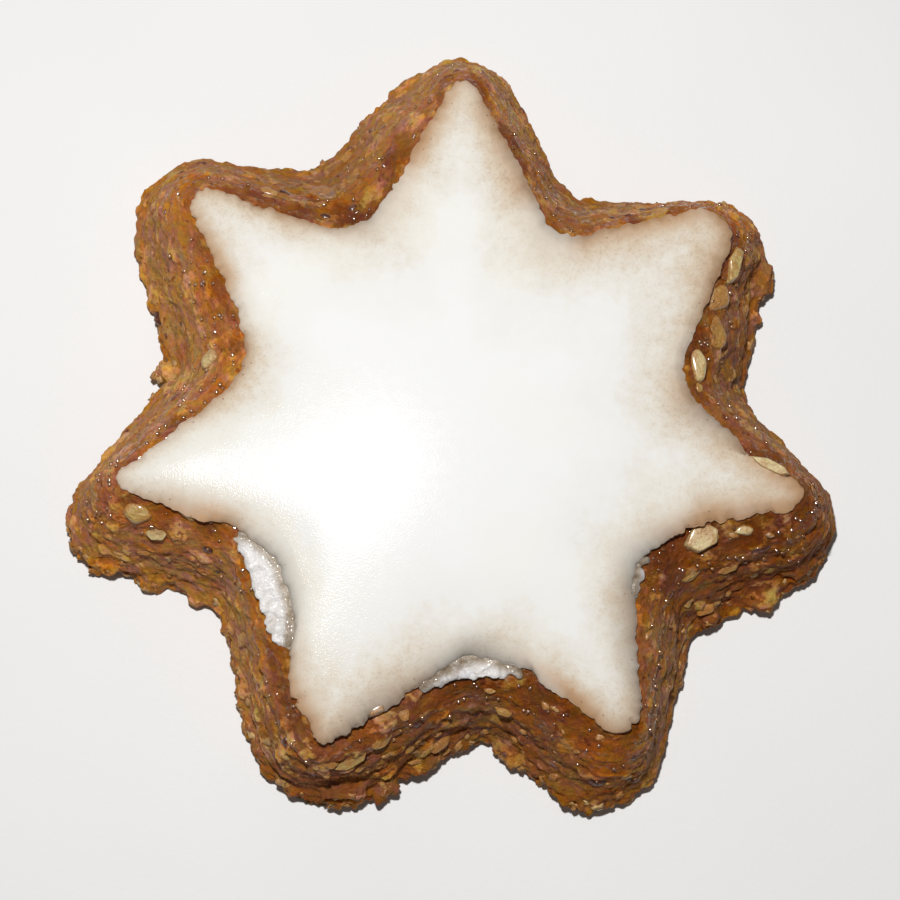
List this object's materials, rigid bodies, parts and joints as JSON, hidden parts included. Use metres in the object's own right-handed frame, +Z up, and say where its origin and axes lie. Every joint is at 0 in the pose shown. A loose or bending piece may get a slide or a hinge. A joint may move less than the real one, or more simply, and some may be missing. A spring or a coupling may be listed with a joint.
{
  "type": "cinnamon star cookie",
  "caption": "Star-shaped nut and cinnamon biscuit with rounded arms, a torn leaning wall and a smooth cap of white icing on top.",
  "frame": {"origin": "centre of the bounding box at the underside, on the surface the biscuit lies on", "axes": "+Z up through the thickness, +Y towards the arm that points straight up when the icing is looked at"},
  "size_m": [0.0608, 0.061, 0.0104],
  "materials": {
    "dough": "coarse baked nut dough, damp brown near the icing and crumbly orange brown at the foot",
    "icing": "smooth satin white egg white icing, stained tan at the rim"
  },
  "bodies": {
    "root": {"dough": "dough", "icing": "icing"}
  },
  "joints": []
}
